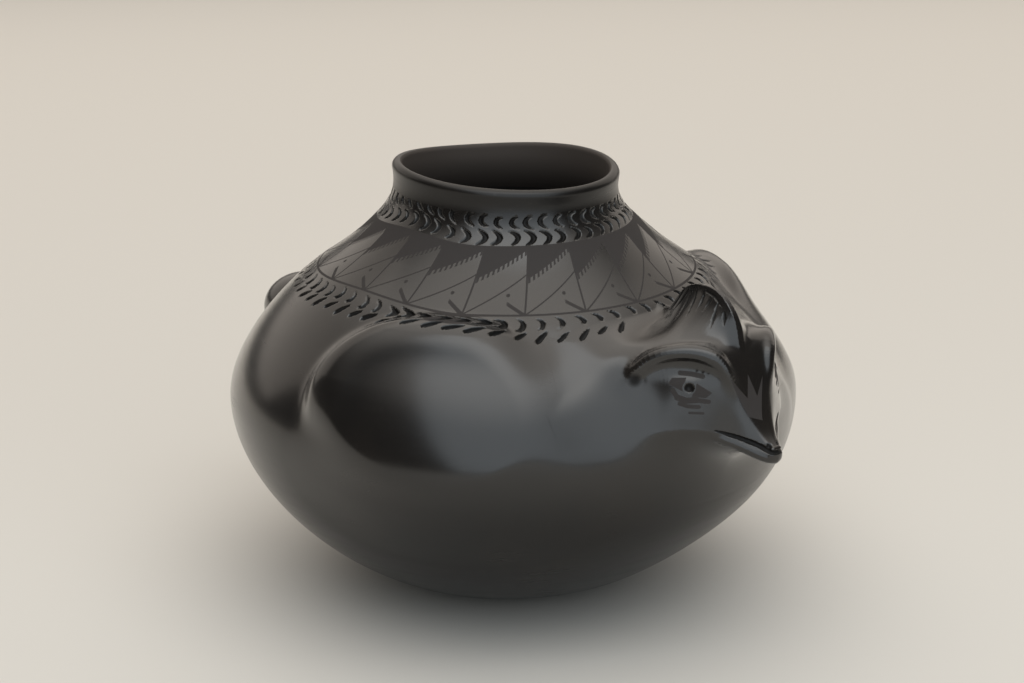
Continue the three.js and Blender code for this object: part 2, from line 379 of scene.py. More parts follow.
# Depths in millimetres where a cut turns matte, heights in metres where the rubbing begins and ends, and how
# much of it there is underneath and is lost at the lip
matte_depths = (0.12, 0.5)
rub_begins = (0.050, 0.095)
rub_ends = (0.1665, 0.1715)
rub_underneath = 0.1
rub_lost = 0.65


# Reduced black clay, burnished: clouds from the fire, streaks from the stone, matte where it was cut
# or painted, and rubbed less underneath and at the lip; gloss is the roughness of the burnish
def burnished_clay(name, gloss, painted=None):
    material = bpy.data.materials.new(name)
    material.use_nodes = True
    shader = material.node_tree.nodes["Principled BSDF"]
    blank = Wire(shader.outputs[0])
    place = blank.node("ShaderNodeTexCoord", {}, {}, out="Object")
    carved = blank.node("ShaderNodeAttribute", {"attribute_name": "carved"}, {}, out="Fac")
    inside = blank.node("ShaderNodeAttribute", {"attribute_name": "inside"}, {}, out="Fac")
    cloud = place.grain(cloud_grain, 3.0).ramp(0.35, 0.68)
    streak = place.grain(streak_grain, 4.0)
    hair = place.grain(hair_grain, 3.0)
    grit = place.grain(grit_grain, 2.0).ramp(0.66, 0.74)
    matte = carved.ramp(*matte_depths)
    colour = cloud.mix(clay_black, clay_brown)
    colour = (grit * 0.25).mix(colour, paint_grey)
    colour = matte.mix(colour, cut_black)
    colour = inside.mix(colour, inside_brown)
    rough = gloss + (streak - 0.5) * streak_rough + (hair - 0.5) * hair_rough + cloud * cloud_rough
    rough = rough + matte * cut_rough + inside * inside_rough
    height = place.part("Z")
    rubbed = rub_underneath + (1 - rub_underneath) * height.ramp(*rub_begins)
    rubbed = rubbed * (1 - rub_lost * height.ramp(*rub_ends))
    skin = (1 - matte) * (1 - inside) * rubbed
    if painted is not None:
        paint = painted(place)
        colour = paint.mix(colour, paint_grey)
        rough = rough * (1 - paint) + paint * paint_rough
        skin = skin * (1 - paint)
    relief = streak * 0.6 + hair * 0.4
    bump = blank.node("ShaderNodeBump", {}, {"Strength": 0.12, "Distance": 0.0002, "Height": relief})
    finish = {"Base Color": colour, "Roughness": rough, "Coat Weight": skin, "Normal": bump}
    for label, wire in finish.items():
        material.node_tree.links.new(wire.socket, shader.inputs[label])
    shader.inputs["Specular IOR Level"].default_value = 0.25
    shader.inputs["Coat Roughness"].default_value = gloss
    return material


# A piece gets its clay, rides on the pot's one body and takes the place of the solids it shows
def settle(piece, material, slot, *nodes):
    piece.data.materials.append(material)
    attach(piece, "root")
    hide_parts(*nodes)


belly_gloss = 0.21
belly_clay = burnished_clay("burnished_clay", belly_gloss)
base_climbs = np.linspace(0, climb_at(base_joint_height), 50)
base_bowl = wall_coil("base_bowl_piece", base_climbs, columns=300, inside_rows=12, closed_below=True)
settle(base_bowl, belly_clay, "burnished_clay", "base_bowl")


# Lower belly
# A coil of clay luted to the base bowl with slip and drawn up thin, below the widest line of the pot.
# It carries the lower edge of both wings.
belly_joint_height = 62.0

lower_climbs = np.linspace(climb_at(base_joint_height), climb_at(belly_joint_height), 46)
lower_belly = wall_coil("lower_belly_piece", lower_climbs, columns=400, inside_rows=8)
settle(lower_belly, belly_clay, "burnished_clay", "lower_belly_coil")


# Upper belly
# A coil over the widest line. Both wings are pads of clay smoothed onto it until no seam is left,
# so the wings and the wall are one skin here.
upper_joint_height = 112.0

upper_climbs = np.linspace(climb_at(belly_joint_height), climb_at(upper_joint_height), 52)
upper_belly = wall_coil("upper_belly_piece", upper_climbs, columns=540, inside_rows=8)
settle(upper_belly, belly_clay, "burnished_clay", "upper_belly_coil", "right_wing", "left_wing")


# Shoulder
# A coil that turns in toward the neck. Two rows of nail cuts were pressed into the damp clay below
# the band, and the band itself is drawn in matte slip between two thin lines.
shoulder_joint_height = 151.0
band_low_climb = climb_at(band_foot[1])
chance = np.random.default_rng(11)

# The band and the rows drift up over the right wing: angle, reach, and rise along the wall and upright
drift_angle = math.radians(-97)
drift_reach = math.radians(38)
drift_climb = 3.4
drift_height = 2.3


# Nearest place on the line from first to second: its share of the way, and the offset from there
def nearest_on(first, second, *place):
    run = np.subtract(second, first)
    offset = [there - start for there, start in zip(place, first)]
    share = np.clip(sum(gap * way for gap, way in zip(offset, run)) / run.dot(run), 0, 1)
    return share, [gap - share * way for gap, way in zip(offset, run)]


# Depth of a cut along points with half widths, at places across and up. The nail stood on the right of the
# line, where the cut is steep, and it rises slowly to the left.
def groove(across, up, points, widths, depth, steep=0.45, gentle=1.5):
    full_half = 0.9
    roundness = 0.8
    nearest = np.full(np.broadcast(across, up).shape, np.inf)
    cut = np.zeros_like(nearest)
    for first, second, half_first, half_second in zip(points[:-1], points[1:], widths[:-1], widths[1:]):
        share, offset = nearest_on(first, second, across, up)
        away = np.hypot(*offset)
        left = (second[0] - first[0]) * (up - first[1]) - (second[1] - first[1]) * (across - first[0]) > 0
        half = half_first + share * (half_second - half_first)
        reach = half * np.where(left, gentle, steep)
        hollow = np.clip(1 - (away / reach) ** 2, 0, 1) ** roundness
        found = depth * np.minimum(half, full_half) * hollow
        cut = np.where(away < nearest, found, cut)
        nearest = np.minimum(nearest, away)
    return cut


# How the rows meet the wings and the head: how far below a row a wing is felt, its rise where it begins and
# is full, the angles where cuts beside the head are halved and where in a cut, and where cuts are absent
felt_below = 5.6
wing_rises = (1.5, 6)
head_right = (-0.95, -0.4)
head_left = (0.2, 0.6)
half_cut = (-1.6, 0.6)
head_half_angle = math.radians(11)


# Row of nail cuts round the wall: how many, the climb of its middle, one cut's line, half widths and depth,
# how far it is drawn out over the wings, and whether its cuts are whole, half or absent beside the head
def nail_row(count, row_climb, points, widths, depth, stretch=0.35, at_head="whole"):
    shift = chance.uniform(-0.5, 0.5, count)
    drop = chance.uniform(-0.45, 0.45, count)
    size = chance.uniform(0.88, 1.12, count)
    turn = chance.uniform(-0.16, 0.16, count)
    pitch = 2 * math.pi / count
    radius = np.interp(row_climb, climb_steps, line_radius)

    # Depth from the nearest cut and its two neighbours; on a wing cuts are longer, less tall and deeper
    def cut(angle, climb):
        around = from_head(angle)
        drift = drift_climb * (1 - smooth_step(np.abs(around - drift_angle), 0, drift_reach))
        nearest = np.round(angle / pitch).astype(int)
        felt = np.full_like(climb, row_climb - felt_below * stretch)
        on_wing = smooth_step(swell(angle, felt), *wing_rises)
        press = 1 + 0.2 * on_wing
        beside_head = smooth_step(around, *head_right) * (1 - smooth_step(around, *head_left))
        deepest = 0
        for number in (nearest - 1, nearest, nearest + 1):
            which = number % count
            across = (angle - number * pitch) * radius - shift[which]
            up = (climb - row_climb - drift - drop[which]) * press
            cosine = np.cos(turn[which]) / size[which]
            sine = np.sin(turn[which]) / size[which]
            turned_across = (across * cosine + up * sine) / (1 + stretch * on_wing)
            turned_up = up * cosine - across * sine
            found = groove(turned_across, turned_up, points, widths, depth)
            if at_head == "half":
                found = found * (1 - beside_head * (1 - smooth_step(turned_up, *half_cut)))
            if at_head == "absent":
                found = np.where(np.abs(from_head(number * pitch)) < head_half_angle, 0, found)
            deepest = np.maximum(deepest, found)
        return deepest * (1 + 0.3 * on_wing + 0.4 * stretch * on_wing)

    return cut


shoulder_cuts = 66
upper_row_below = 4.6
lower_row_below = 10.6
shoulder_rows = [
    nail_row(shoulder_cuts, band_low_climb - upper_row_below,
             points=[(-1.1, -3.0), (0.4, -2.6), (1.4, -1.4), (1.7, 0.3), (0.7, 2.0), (-1.3, 3.0)],
             widths=[0.45, 0.80, 1.10, 1.05, 0.70, 0.30], depth=1.15, stretch=1.1, at_head="half"),
    nail_row(shoulder_cuts, band_low_climb - lower_row_below,
             points=[(-2.0, -1.9), (-0.2, -0.4), (2.2, 1.8)],
             widths=[1.00, 1.05, 0.40], depth=1.25, at_head="absent"),
]

# Units of the band, their start and lean; places are shares of a unit and of its height, lines millimetres
band_units = 20
band_start = math.radians(-114.5)
band_lean = math.radians(4)
band_width = 28.5
line_half = 0.40
paint_edge = 0.12
triangle_side = 0.50
triangle_rise = 0.45
comb_teeth = 11
tooth_length = 0.07
tooth_half = 0.24
slant_rise = 0.58
dot_place = (0.68, 0.72)
dot_radius = 0.75
stroke_place = (0.67, 0.83)
stroke_fall = 0.52
stroke_half = 0.62


# Painted where a distance is below zero, with a soft edge
def below(distance):
    return 1 - distance.ramp(-paint_edge, paint_edge)


# Painted along a line, from the distance to its middle and its half width
def brush_line(distance, half):
    return 1 - abs(distance).ramp(half - paint_edge, half + paint_edge)


# Marks painted one over the other
def together(*marks):
    whole = marks[0]
    for mark in marks[1:]:
        whole = whole.apply("MAXIMUM", mark)
    return whole


def length_of(across, along):
    return (across * across + along * along).apply("SQRT")


# Band drawn in slip: in each unit an upright, a filled triangle with comb teeth, a slanting line from
# its right side down to the foot of the upright, a dot, and a short thick stroke
def band_paint(place):
    high = band_top[1] * mm
    low = band_foot[1] * mm
    x = place.part("X")
    y = place.part("Y")
    z = place.part("Z")
    angle = x.apply("ARCTAN2", 0 - y)
    drift = drift_height * mm * (1 - abs(angle - drift_angle).ramp(0, drift_reach))
    down = (high + drift - z) / (high - low)
    unit_angle = 2 * math.pi / band_units
    turns = (angle - band_start - (1 - down) * band_lean) / unit_angle + band_units
    across = turns.apply("FRACT")
    unit_width = length_of(x, y) * (unit_angle / mm)
    upright = brush_line(across.apply("PINGPONG", 0.5) * unit_width, line_half)
    slope = triangle_side - across * triangle_rise
    triangle = below((down - slope) * band_width)
    tooth = abs((across * comb_teeth).apply("FRACT") - 0.5)
    teeth = below((down - slope - tooth_length) * band_width) * below((tooth - tooth_half) * 6)
    slant = brush_line((down - 1 + across * slant_rise) * band_width * 0.85, line_half * 0.8)
    dot = length_of((across - dot_place[0]) * unit_width, (down - dot_place[1]) * band_width)
    dot = below(dot - dot_radius)
    stroke = down - stroke_place[1] - (across - stroke_place[0]) * stroke_fall
    stroke = brush_line(stroke * band_width * 0.8, stroke_half) * across.ramp(0.66, 0.70)
    edges = together(brush_line(down * band_width, line_half), brush_line((down - 1) * band_width, line_half))
    marks = together(upright, triangle, teeth, slant, dot, stroke)
    within = below(0 - down * band_width) * below((down - 1) * band_width)
    return together(edges, marks * within)


# Climbs stand close together where the rows of cuts are
fine = 0.46
row_low = band_low_climb - 15.0
row_high = band_low_climb + 2.6
shoulder_low = climb_at(upper_joint_height)
shoulder_high = climb_at(shoulder_joint_height)
shoulder_climbs = np.concatenate([
    np.linspace(shoulder_low, row_low, 14)[:-1],
    np.arange(row_low, row_high, fine),
    np.linspace(row_high, shoulder_high, 9),
])
shoulder_clay = burnished_clay("decorated_clay", belly_gloss, band_paint)
shoulder = wall_coil("shoulder_piece", shoulder_climbs, columns=1240, inside_rows=6,
                     nail_rows=shoulder_rows)
settle(shoulder, shoulder_clay, "decorated_clay", "shoulder_coil")


# Neck collar
# A coil that turns up into the neck. Two rows of nail cuts run round it like a rope, the upper ones
# hooked to the left and the lower ones to the right.
neck_joint_height = 171.6
neck_gloss = 0.22
neck_cuts = 49
upper_row_height = 168.4
lower_row_height = 162.8

neck_rows = [
    nail_row(neck_cuts, climb_at(upper_row_height),
             points=[(1.5, 2.5), (0.0, 2.1), (-1.1, 1.3), (-1.5, 0.2), (-1.1, -0.9), (0.1, -1.8),
                     (1.9, -2.5)],
             widths=[0.40, 0.65, 0.85, 0.95, 0.85, 0.60, 0.30], depth=1.15),
    nail_row(neck_cuts, climb_at(lower_row_height),
             points=[(-1.6, -3.0), (0.4, -1.9), (1.4, -0.8), (1.7, 0.2), (1.2, 1.3), (0.0, 2.2),
                     (-1.9, 2.9)],
             widths=[0.35, 0.70, 0.95, 1.05, 0.95, 0.70, 0.35], depth=1.15),
]

neck_clay = burnished_clay("satin_clay", neck_gloss, band_paint)
neck_climbs = np.arange(shoulder_high, climb_at(neck_joint_height), fine)
neck_climbs = np.concatenate([neck_climbs[:-1], [climb_at(neck_joint_height)]])
neck = wall_coil("neck_piece", neck_climbs, columns=1000, inside_rows=6, nail_rows=neck_rows)
settle(neck, neck_clay, "satin_clay", "neck_collar")


# Rim
# The last coil, pinched round and smoothed with wet leather, so it has a satin skin.
# The lip is a half round as thick as the wall.
rim_gloss = 0.30
rim_columns = 500
rim_inside_rows = 12
brown_lip_steps = 3

rim_clay = burnished_clay("rim_clay", rim_gloss)
rim_climbs = np.linspace(climb_at(neck_joint_height), wall_length, 14)
rim_turn = np.arange(rim_columns) * 2 * math.pi / rim_columns
lip_steps = np.linspace(0, math.pi, 13)[1:-1]


# Rows of the rim from its joint up the outside, over the lip and down the inside
def rim_grid():
    turn = rim_turn[None, :]
    outer_climbs = rim_climbs[:, None]
    outer = wall_point(turn, outer_climbs, swell(turn, outer_climbs))
    inner_climbs = np.linspace(wall_length, rim_climbs[0] - scarf, rim_inside_rows)[:, None]
    inner = wall_point(turn, inner_climbs, np.full((1, rim_columns), -wall))
    middle = (outer[-1] + inner[0]) / 2
    half = (outer[-1] - inner[0]) / 2
    crown = np.array([0, 0, wall / 2])
    lip = [middle + half * math.cos(step) + crown * math.sin(step) for step in lip_steps]
    return np.concatenate([outer, np.array(lip), inner])


# Only the rows at the joints have set normals, to hide the joints; the brown begins on the lip's last steps
rim_points = rim_grid()
rim_rows = len(rim_points)
rim_normals = np.zeros_like(rim_points)
rim_normals[0] = -inward_facing(rim_turn, rim_climbs[:1])[0]
rim_normals[-1] = inward_facing(rim_turn, rim_climbs[:1] - scarf)[0]
rim_inside = np.zeros((rim_rows, rim_columns))
rim_inside[len(rim_climbs) + len(lip_steps) - brown_lip_steps:] = 1
rim = make_mesh("rim_piece", rim_points.reshape(-1, 3), ring_faces(rim_rows, rim_columns),
                rim_normals.reshape(-1, 3), inside=rim_inside.reshape(-1))
settle(rim, rim_clay, "satin_clay", "rim_coil")


# Head
# A lump of clay modelled into a bird's face and luted to the wall, with a thin arched crest down the
# middle, a rolled brow over each eye and a hooked beak. All of it is smoothed into the wall.
head_pivot = 86.0
head_turn = math.radians(10)

# Widths of the fillets: into the wall at the cheek, roof and crest, and between the forms of the face
cheek_meeting = 26.0
roof_meeting = 22.0
crest_meeting = 6.0
crest_fillet = 7.0
brow_fillet = 6.0
hollow_fillet = 4.5
lip_fillet = 1.6


# Climb and standing-off height of places round the wall, worked out once on a grid of radius and height
near_start = (60.0, 40.0)
near_end = (176.0, 166.0)
near_step = 0.5
near_radius = np.arange(near_start[0], near_end[0], near_step)[:, None]
near_height = np.arange(near_start[1], near_end[1], near_step)[None, :]
near_climb = np.zeros((near_radius.size, near_height.size))
near_off = np.zeros_like(near_climb)
for row, radius in enumerate(near_radius[:, 0]):
    gap = (line_radius[:, None] - radius) ** 2 + (line_height[:, None] - near_height) ** 2
    best = gap.argmin(0)
    out_way = radius - line_radius[best]
    up_way = near_height[0] - line_height[best]
    lean = line_lean[best]
    near_climb[row] = climb_steps[best] + out_way * np.cos(lean) + up_way * np.sin(lean)
    near_off[row] = out_way * np.sin(lean) - up_way * np.cos(lean)


# Value that a table on that grid has at a radius and a height
def looked_up(table, radius, height):
    out_way = np.clip((radius - near_start[0]) / near_step, 0, table.shape[0] - 1.001)
    up_way = np.clip((height - near_start[1]) / near_step, 0, table.shape[1] - 1.001)
    row = out_way.astype(int)
    column = up_way.astype(int)
    out_way = out_way - row
    up_way = up_way - column
    near = table[row, column] * (1 - up_way) + table[row, column + 1] * up_way
    far = table[row + 1, column] * (1 - up_way) + table[row + 1, column + 1] * up_way
    return near * (1 - out_way) + far * out_way


# Angle from the head and climb of points near the wall, and their distance from its outside
def wall_place(points):
    radius = np.hypot(points[:, 0], points[:, 1])
    angle = np.arctan2(points[:, 0], -points[:, 1])
    climb = looked_up(near_climb, radius, points[:, 2])
    return angle, climb, looked_up(near_off, radius, points[:, 2]) - swell(angle, climb)


def wall_field(points):
    return wall_place(points)[2]


# Place in the head's frame, for arrays and for nodes: across to its left, forward from the axis, and up
def head_place(x, y, z):
    forward = -head_pivot - y
    across = x * math.cos(head_turn) + forward * math.sin(head_turn)
    ahead = forward * math.cos(head_turn) - x * math.sin(head_turn)
    return across, ahead + head_pivot, z


# Distance to two shapes smoothed together, and to the first with the second scooped out of it
def joined(first, second, reach):
    share = np.maximum(reach - np.abs(first - second), 0) / reach
    return np.minimum(first, second) - share ** 3 * reach / 6


def scooped(first, second, reach):
    return -joined(-first, second, reach)


# Smooth run through stations, as a table over the forward way
def run_through(stations, reach):
    stations = np.array(stations, float)
    ahead = np.arange(stations[0, 0], stations[-1, 0] + 0.1, 0.25)
    return [ahead] + [softened(np.interp(ahead, stations[:, 0], stations[:, k]), reach)
                      for k in range(1, stations.shape[1])]


# Smooth curve of points through marks
def curved(marks, steps=4):
    marks = np.array(marks, float)
    ends = np.concatenate([[2 * marks[0] - marks[1]], marks, [2 * marks[-1] - marks[-2]]])
    found = []
    for before, here, there, after in zip(ends[:-3], ends[1:-2], ends[2:-1], ends[3:]):
        for way in np.arange(steps) / steps:
            found.append(0.5 * (2 * here + (there - before) * way
                                + (2 * before - 5 * here + 4 * there - after) * way ** 2
                                + (3 * here - before - 3 * there + after) * way ** 3))
    return np.array(found + [marks[-1]])


# Crest: the edge of a blade along the middle of the head, forward and up
crest_edge = curved([
    (80, 126), (86, 132), (92, 139.8), (97.5, 146.4), (103, 149.4), (109, 150.4), (115.5, 149.8),
    (121.5, 147.0), (126.0, 142.6), (128.8, 137.6), (130.4, 131.6), (131.8, 124.0), (133.0, 112.0),
    (136.0, 60.0)])
blade_half = 0.8
blade_spread = 0.044
blade_splay = 0.28


# Height of the crest's flank; the blade thickens downward, slowly at the front and fast behind
def crest_flank(side, ahead):
    edge = np.interp(ahead, crest_edge[:, 0], crest_edge[:, 1])
    thin = blade_half + 0.6 * smooth_step(ahead, 119, 130)
    spread = blade_spread * (1 - 0.7 * smooth_step(ahead, 108, 128))
    splay = blade_splay + 0.22 * smooth_step(ahead, 110, 122)
    depth = (np.sqrt(splay ** 2 + 4 * spread * np.maximum(side - thin, 0)) - splay) / (2 * spread)
    return edge - depth


# Skull and beak: forward reach, half width, half width of the roof, top, widest height and underside
skull_run = run_through([
    (70, 47, 47, 124, 96, 72),
    (80, 47, 47, 126, 97, 73),
    (98, 43.5, 43.5, 129.5, 97, 76),
    (105, 38.6, 37.2, 131.6, 98, 78.5),
    (112, 34.6, 32, 132.8, 99, 81),
    (122, 29.5, 25.5, 133.3, 100.5, 85),
    (127, 25.6, 20.6, 133, 101, 87),
    (130.5, 22.4, 15.6, 131, 101, 88),
    (133, 19.3, 13.2, 127.3, 100.6, 88.5),
    (135.4, 16.4, 12.4, 122.4, 100, 89),
    (137.3, 13.4, 10.6, 117.2, 99.2, 89),
    (139.9, 10.6, 8.1, 109, 98, 88.8),
    (142.5, 8.0, 6.0, 103.6, 96.4, 88.4),
    (147.7, 4.8, 3.6, 97.2, 93.2, 88),
    (152, 2.9, 2.2, 94.6, 91.8, 88.6),
], 8)
roof_square = 4.5
under_square = 1.6
beak_end = 150.8
beak_round = 1.7


# Below zero inside the skull and beak; its cross section is squarer above the widest line than below
def skull_shape(across, ahead, up):
    there = np.minimum(ahead, beak_end)
    half, roof, top, side, low = (np.interp(there, skull_run[0], values) for values in skull_run[1:])
    top = -joined(-top, -crest_flank(np.abs(across), ahead), crest_fillet)
    above = up > side
    rise = np.where(above, top - side, side - low)
    square = np.where(above, roof_square + 0.5 * smooth_step(ahead, 126, 133), under_square)
    level = np.clip((up - side) / rise, 0, 1.1)
    width = half + (roof - half) * level
    share = (np.abs(across) / width) ** square + (np.abs(up - side) / rise) ** square
    past = np.maximum(ahead - beak_end, 0) / beak_round
    return np.sqrt(share ** (2 / square) + past ** 2) - 1


# How a field changes across, along and up at points
def slope_of(field, points, reach=0.12):
    steps = np.eye(3) * reach
    return np.stack([(field(points + step) - field(points - step)) / (2 * reach) for step in steps], -1)


# First-order distance of a shape given by a value that is zero on it
def as_distance(shape, *place):
    flattest = 0.008
    slope = slope_of(lambda points: shape(*points.T), np.stack(place, -1), reach=0.2)
    return shape(*place) / np.maximum(np.sqrt((slope ** 2).sum(1)), flattest)


# Distance to a roll of clay along a curve; each point is across, ahead, up and radius
def roll_distance(across, ahead, up, curve):
    nearest = np.full(across.shape, np.inf)
    for first, second in zip(curve[:-1], curve[1:]):
        share, offset = nearest_on(first[:3], second[:3], across, ahead, up)
        gap = np.sqrt(sum(way ** 2 for way in offset))
        nearest = np.minimum(nearest, gap - first[3] - share * (second[3] - first[3]))
    return nearest


# Rolls of the brow and of the lip under the mouth line, and the hollow over the eye
brow_curve = curved([
    (36.4, 108.2, 118.6, 0.2), (34.6, 109.4, 122.8, 1.4), (30.4, 112.8, 126.9, 2.7),
    (24.6, 119.0, 129.6, 3.0), (18.8, 125.0, 129.9, 3.1), (14.6, 130.2, 128.2, 2.7),
    (12.2, 133.0, 125.4, 2.0), (10.6, 134.7, 121.4, 1.4), (8.4, 135.6, 116.0, 0.6),
    (5.6, 135.8, 110.0, 0.2)])
hollow_curve = curved([
    (34.6, 116.0, 121.4, 0.8), (32.8, 117.8, 122.4, 2.4), (29.0, 121.8, 123.8, 3.6),
    (22.6, 128.0, 124.0, 3.6), (17.4, 133.6, 121.6, 1.4)])
lip_curve = curved([
    (18.6, 129.5, 99.8, 1.0), (13.6, 135.6, 97.0, 1.9), (8.2, 141.0, 94.2, 2.2), (4.6, 146.2, 91.8, 2.2),
    (2.2, 149.4, 90.5, 2.1), (0.0, 150.3, 90.1, 2.0)])
mouth_line = [(135.0, 100.7), (136.4, 100.0), (138.4, 99.0), (142.9, 97.0), (147.4, 95.2), (150.8, 93.6),
              (154.0, 92.8)]
mouth_widths = [0.4, 0.6, 0.8, 0.9, 1.0, 1.0, 1.0]
eye_middle = np.array([23.1, 126.3, 117.1])
nostril_middle = np.array([2.4, 149.8, 95.4])
dimple_middle = np.array([36.1, 109.2, 118.6])
left_brow_drop = 1.8


# Distance of points from the head alone
def head_field(points):
    across, ahead, up = head_place(*points.T)
    side = np.abs(across)
    shape = as_distance(skull_shape, side, ahead, up)
    brow_up = up + left_brow_drop * smooth_step(across, 2, 9)
    shape = joined(shape, roll_distance(side, ahead, brow_up, brow_curve), brow_fillet)
    shape = scooped(shape, roll_distance(side, ahead, brow_up, hollow_curve), hollow_fillet)
    return joined(shape, roll_distance(side, ahead, up, lip_curve), lip_fillet)


# Distance from the head smoothed into the wall, wide at the cheek and tight at the crest
def head_and_wall(points):
    up = points[:, 2]
    reach = cheek_meeting + (roof_meeting - cheek_meeting) * smooth_step(up, 106, 122)
    reach = reach + (crest_meeting - roof_meeting) * smooth_step(up, 130, 140)
    return joined(wall_field(points), head_field(points), reach)


# Points moved onto the place where a field is zero
def drawn_onto(field, points, rounds):
    flattest = 0.05
    longest = 1.0
    for _ in range(rounds):
        slope = slope_of(field, points)
        move = field(points)[:, None] * slope / np.maximum((slope ** 2).sum(1, keepdims=True), flattest)
        points = points - np.clip(move, -longest, longest)
    return points


# The four cells round each edge of a grid that runs along an axis
def cells_round(edges, axis):
    found = []
    for first, second in ((0, 0), (1, 0), (1, 1), (0, 1)):
        cell = edges.copy()
        cell[:, (axis + 1) % 3] -= first
        cell[:, (axis + 2) % 3] -= second
        found.append(cell)
    return found


# Skin of four-sided faces where a field is zero inside a box, with one point in each cell it crosses
def skin_of(field, low, high, step):
    axes = [np.arange(start, end, step) for start, end in zip(low, high)]
    size = [axis.size for axis in axes]
    value = np.empty(size)
    y, z = np.meshgrid(axes[1], axes[2], indexing="ij")
    for layer, x in enumerate(axes[0]):
        value[layer] = field(np.stack([np.full(y.size, x), y.ravel(), z.ravel()], -1)).reshape(y.shape)
    cells = [count - 1 for count in size]
    total = np.zeros(cells + [3])
    count = np.zeros(cells)
    crossings = []
    for axis in range(3):
        here = np.delete(value, -1, axis)
        there = np.delete(value, 0, axis)
        change = (here < 0) != (there < 0)
        edges = np.argwhere(change)
        spot = edges.astype(float)
        spot[:, axis] += here[change] / (here[change] - there[change])
        crossings.append((axis, edges, here[change] < 0))
        for cell in cells_round(edges, axis):
            good = ((cell >= 0) & (cell < cells)).all(1)
            np.add.at(total, tuple(cell[good].T), spot[good])
            np.add.at(count, tuple(cell[good].T), 1)
    used = count > 0
    number = np.full(cells, -1)
    number[used] = np.arange(used.sum())
    points = np.array(low) + step * total[used] / count[used][:, None]
    quads = []
    for axis, edges, outward in crossings:
        corners = cells_round(edges, axis)
        good = np.all([((cell >= 0) & (cell < cells)).all(1) for cell in corners], axis=0)
        quad = np.stack([number[tuple(cell[good].T)] for cell in corners], 1)
        quads.append(np.where(outward[good][:, None], quad, quad[:, ::-1]))
    return points, np.concatenate(quads)


# Each face split in four
def quartered(points, quads):
    edges = np.sort(np.stack([quads, np.roll(quads, -1, 1)], -1).reshape(-1, 2), 1)
    pairs, which = np.unique(edges, axis=0, return_inverse=True)
    middle = which.reshape(-1, 4) + len(points)
    centre = np.arange(len(quads)) + len(points) + len(pairs)
    more = np.concatenate([points, points[pairs].mean(1), points[quads].mean(1)])
    parts = [np.stack([quads[:, k], middle[:, k], centre, middle[:, k - 1]], 1) for k in range(4)]
    return more, np.concatenate(parts)


# Points moved to the middle of the faces round them, and back onto the field
def evened(field, points, quads, rounds):
    for _ in range(rounds):
        centres = points[quads].mean(1)
        total = np.zeros_like(points)
        count = np.zeros(len(points))
        for k in range(4):
            np.add.at(total, quads[:, k], centres)
            np.add.at(count, quads[:, k], 1)
        points = drawn_onto(field, total / count[:, None], 1)
    return points


def kept_faces(points, quads, keep):
    quads = quads[keep[quads].all(1)]
    used = np.unique(quads)
    number = np.full(len(points), -1)
    number[used] = np.arange(len(used))
    return points[used], number[quads]


# The lump without the wall: points, faces and normals, which turn into the wall's at its edge to hide it
def luted_lump(field, low, high, step):
    hidden_stand = 0.002
    edge_stand = 0.02
    blend_stand = 0.25
    points, quads = skin_of(field, low, high, step)
    points = drawn_onto(field, points, 2)
    points, quads = kept_faces(points, quads, wall_field(points) > hidden_stand)
    points = evened(field, points, quads, 2)
    points, quads = quartered(points, quads)
    points = drawn_onto(field, points, 3)
    points, quads = kept_faces(points, quads, wall_field(points) > edge_stand)
    normals = unit(slope_of(field, points))
    wall_normals = unit(slope_of(wall_field, points))
    near_wall = 1 - smooth_step(wall_field(points), edge_stand, blend_stand)[:, None]
    return points, quads, unit(normals * (1 - near_wall) + wall_normals * near_wall)


# Feather strokes hanging from the edge of the crest on both its flanks, forward and up
crest_strokes = [
    [(98.0, 146.4), (95.1, 141.0), (91.0, 136.2)],
    [(101.0, 147.0), (99.0, 142.0), (96.0, 136.4)],
    [(103.2, 146.6), (103.4, 142.0), (104.4, 137.0)],
    [(106.2, 147.4), (107.2, 143.4), (108.7, 139.2)],
    [(110.6, 147.8), (111.4, 144.4), (111.2, 141.6)],
    [(115.4, 147.2), (115.0, 144.4), (114.4, 141.8)],
    [(119.0, 145.2), (120.2, 140.6), (121.2, 137.0)],
    [(123.0, 142.6), (124.0, 140.6), (124.8, 138.2)],
    [(110.5, 148.6), (116.3, 147.6), (121.2, 144.6)],
]
stroke_widths = [0.55, 0.75, 0.3]


# Depth of a round pit pressed into both sides of the head
def pit(side, ahead, up, middle, radius, depth, soft=1.5):
    away = np.sqrt((side - middle[0]) ** 2 + (ahead - middle[1]) ** 2 + (up - middle[2]) ** 2)
    return depth * np.clip(1 - (away / radius) ** 2, 0, 1) ** soft


# Depth of the cuts in the head: strokes, mouth line, nostrils, pupils and ends of the nail rows; and depth
# of the soft dimple pressed in behind each brow
def head_cuts(points):
    across, ahead, up = head_place(*points.T)
    side = np.abs(across)
    angle, climb, stand = wall_place(points)
    cut = cut_depth(shoulder_rows, angle, climb) * (1 - smooth_step(stand, 2.0, 4.0))
    high = smooth_step(up, 132, 135) * (side < 15)
    for stroke in crest_strokes:
        found = groove(ahead, up, stroke, stroke_widths, depth=0.7, steep=1.0, gentle=1.0)
        cut = np.maximum(cut, high * found)
    mouth = groove(ahead, up, mouth_line, mouth_widths, depth=1.4, steep=1.0, gentle=1.0)
    cut = np.maximum(cut, mouth)
    cut = np.maximum(cut, pit(side, ahead, up, nostril_middle, radius=1.5, depth=1.3))
    cut = np.maximum(cut, pit(side, ahead, up, eye_middle, radius=2.2, depth=1.6))
    return cut, pit(side, ahead, up, dimple_middle, radius=6.0, depth=0.8, soft=3.0)


